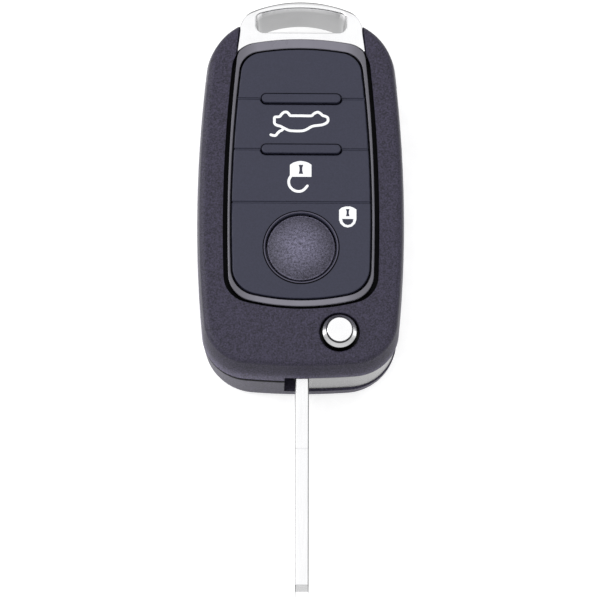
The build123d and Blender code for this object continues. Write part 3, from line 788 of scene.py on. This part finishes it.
class FLIPKEY_OT_blade(bpy.types.Operator):
    """Gives the key blade, its pin and the spring their metal"""
    bl_idname = "flipkey.blade"
    bl_label = "Key blade"

    def execute(self, context):
        look = context.scene.flipkey_finish
        drawn = plated_metal("Blade plating", look.blade, 0.25, 0.000003, (6.0, 0.4, 6.0), 0.002)
        tree = drawn.node_tree
        aside = maths(tree, "ABSOLUTE", maths(tree, "SUBTRACT", place_part(drawn, "X"), BLADE_X))
        # Painted shade along the blade's sides, and darker along their upper edges
        shaded(drawn, aside, BLADE_BY_SIDE)
        shaded(drawn, near_upper_edge(drawn, aside, BLADE_EDGE_LOW * MM), BLADE_BY_EDGE)
        finish_node("key_blade", drawn)
        finish_node("blade_pin", plated_metal("Pin steel", (0.55, 0.55, 0.56), 0.3))
        finish_node("flip_spring", plated_metal("Spring steel", (0.42, 0.42, 0.44), 0.3))
        steel = plated_metal("Screw steel", (0.30, 0.30, 0.32), 0.35)
        finish_node("case_screw", steel)
        screw = mesh_piece("case_screw_head", cross_screw(), steel, "case")
        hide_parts("case_screw")
        return {"FINISHED"}


class FLIPKEY_OT_inside(bpy.types.Operator):
    """Finishes the circuit board, the cell, the clips, the chips and the switches"""
    bl_idname = "flipkey.inside"
    bl_label = "Inner parts"

    def execute(self, context):
        finish_node("circuit_board", smooth_plastic("Board laminate", (0.02, 0.12, 0.05), 0.35))
        finish_node("coin_cell", plated_metal("Cell steel", (0.70, 0.70, 0.71), 0.28))
        brass = plated_metal("Clip metal", (0.72, 0.60, 0.38), 0.3)
        finish_node("negative_clip", brass)
        finish_node("positive_clip", brass)
        finish_node("radio_chip", smooth_plastic("Chip epoxy", (0.02, 0.02, 0.022), 0.5))
        finish_node("transponder_coil", smooth_plastic("Coil body", (0.015, 0.015, 0.017), 0.45))
        case = smooth_plastic("Switch body", (0.03, 0.03, 0.032), 0.45)
        push = smooth_plastic("Switch plunger", (0.55, 0.54, 0.50), 0.4)
        for key in ("tailgate", "unlock", "lock"):
            finish_node(key + "_switch", case)
            finish_node(key + "_plunger", push)
        return {"FINISHED"}


class FLIPKEY_OT_stage(bpy.types.Operator):
    """Sets the pale floor, the soft lights and the camera"""
    bl_idname = "flipkey.stage"
    bl_label = "Stage"

    def execute(self, context):
        stage = context.scene.flipkey_stage
        pale_floor(stage)
        light_tent(context.scene, stage)
        softbox("Left softbox", place=(-0.60, 0.10, 0.35), aim=(0.0, -0.02, 0.0),
                width=0.25, length=0.8, power=2.5)
        data = bpy.data.cameras.new("Camera")
        data.sensor_width = 36.0
        data.lens = stage.lens
        data.clip_start = 0.01
        data.clip_end = 20.0
        camera = linked_object("Camera", data)
        camera.location = stage.place
        camera.rotation_euler = stage.turn
        context.scene.camera = camera
        return {"FINISHED"}


def pale_floor(stage):
    half = stage.floor_size / 2
    made = bmesh.new()
    corners = ((-half, -half), (half, -half), (half, half), (-half, half))
    made.faces.new([made.verts.new((x, y, -FLOOR_GAP * MM)) for x, y in corners])
    mesh = bpy.data.meshes.new("studio_floor")
    made.to_mesh(mesh)
    made.free()
    paper = smooth_plastic("Studio floor", stage.floor, 0.9, 0.0)
    shader = paper.node_tree.nodes["Principled BSDF"]
    shader.inputs["Emission Color"].default_value = (1.0, 1.0, 1.0, 1.0)
    shader.inputs["Emission Strength"].default_value = stage.floor_glow
    mesh.materials.append(paper)
    linked_object("studio_floor", mesh)


def light_tent(scene, stage):
    # An even white tent overhead that turns grey towards the floor.
    world = bpy.data.worlds.new("Light tent")
    scene.world = world
    world.use_nodes = True
    tree = world.node_tree
    sky = tree.nodes["Background"]
    place = tree.nodes.new("ShaderNodeTexCoord")
    parts = tree.nodes.new("ShaderNodeSeparateXYZ")
    tree.links.new(place.outputs["Generated"], parts.inputs[0])
    low = (stage.tent_low,) * 3
    high = (stage.tent_high,) * 3
    tree.links.new(ramp(tree, parts.outputs["Z"], 0.05, 0.55, low, high), sky.inputs["Color"])
    sky.inputs["Strength"].default_value = stage.tent_strength
    scene.view_settings.view_transform = "Standard"


def softbox(name, place, aim, width, length, power):
    data = bpy.data.lights.new(name, "AREA")
    data.shape = "RECTANGLE"
    data.size = width
    data.size_y = length
    data.energy = power
    light = linked_object(name, data)
    light.location = place
    light.rotation_euler = (Vector(aim) - Vector(place)).to_track_quat("-Z", "Y").to_euler()


class FLIPKEY_PT_sidebar(bpy.types.Panel):
    bl_label = "Flip key"
    bl_idname = "FLIPKEY_PT_sidebar"
    bl_space_type = "VIEW_3D"
    bl_region_type = "UI"
    bl_category = "Flip key"

    def draw(self, context):
        for group in (context.scene.flipkey_finish, context.scene.flipkey_marks,
                      context.scene.flipkey_stipple, context.scene.flipkey_stage):
            box = self.layout.box()
            for name in group.bl_rna.properties.keys():
                if name not in ("rna_type", "name"):
                    box.prop(group, name)
        for operator in OPERATORS:
            self.layout.operator(operator.bl_idname)


OPERATORS = (FLIPKEY_OT_shells, FLIPKEY_OT_panel, FLIPKEY_OT_dome, FLIPKEY_OT_marks, FLIPKEY_OT_plating,
             FLIPKEY_OT_blade, FLIPKEY_OT_inside, FLIPKEY_OT_stage)
GROUPS = {"flipkey_finish": FlipKeyFinish, "flipkey_marks": FlipKeyMarks,
          "flipkey_stipple": FlipKeyStipple, "flipkey_stage": FlipKeyStage}
CLASSES = (*GROUPS.values(), *OPERATORS, FLIPKEY_PT_sidebar)


def register():
    for item in CLASSES:
        bpy.utils.register_class(item)
    for name, group in GROUPS.items():
        setattr(bpy.types.Scene, name, PointerProperty(type=group))


def unregister():
    for name in GROUPS:
        delattr(bpy.types.Scene, name)
    for item in reversed(CLASSES):
        bpy.utils.unregister_class(item)


def main():
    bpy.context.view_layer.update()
    register()
    bpy.ops.flipkey.shells()
    bpy.ops.flipkey.panel()
    bpy.ops.flipkey.dome()
    bpy.ops.flipkey.marks()
    bpy.ops.flipkey.plating()
    bpy.ops.flipkey.blade()
    bpy.ops.flipkey.inside()
    bpy.ops.flipkey.stage()


if __name__ == "__main__":
    main()
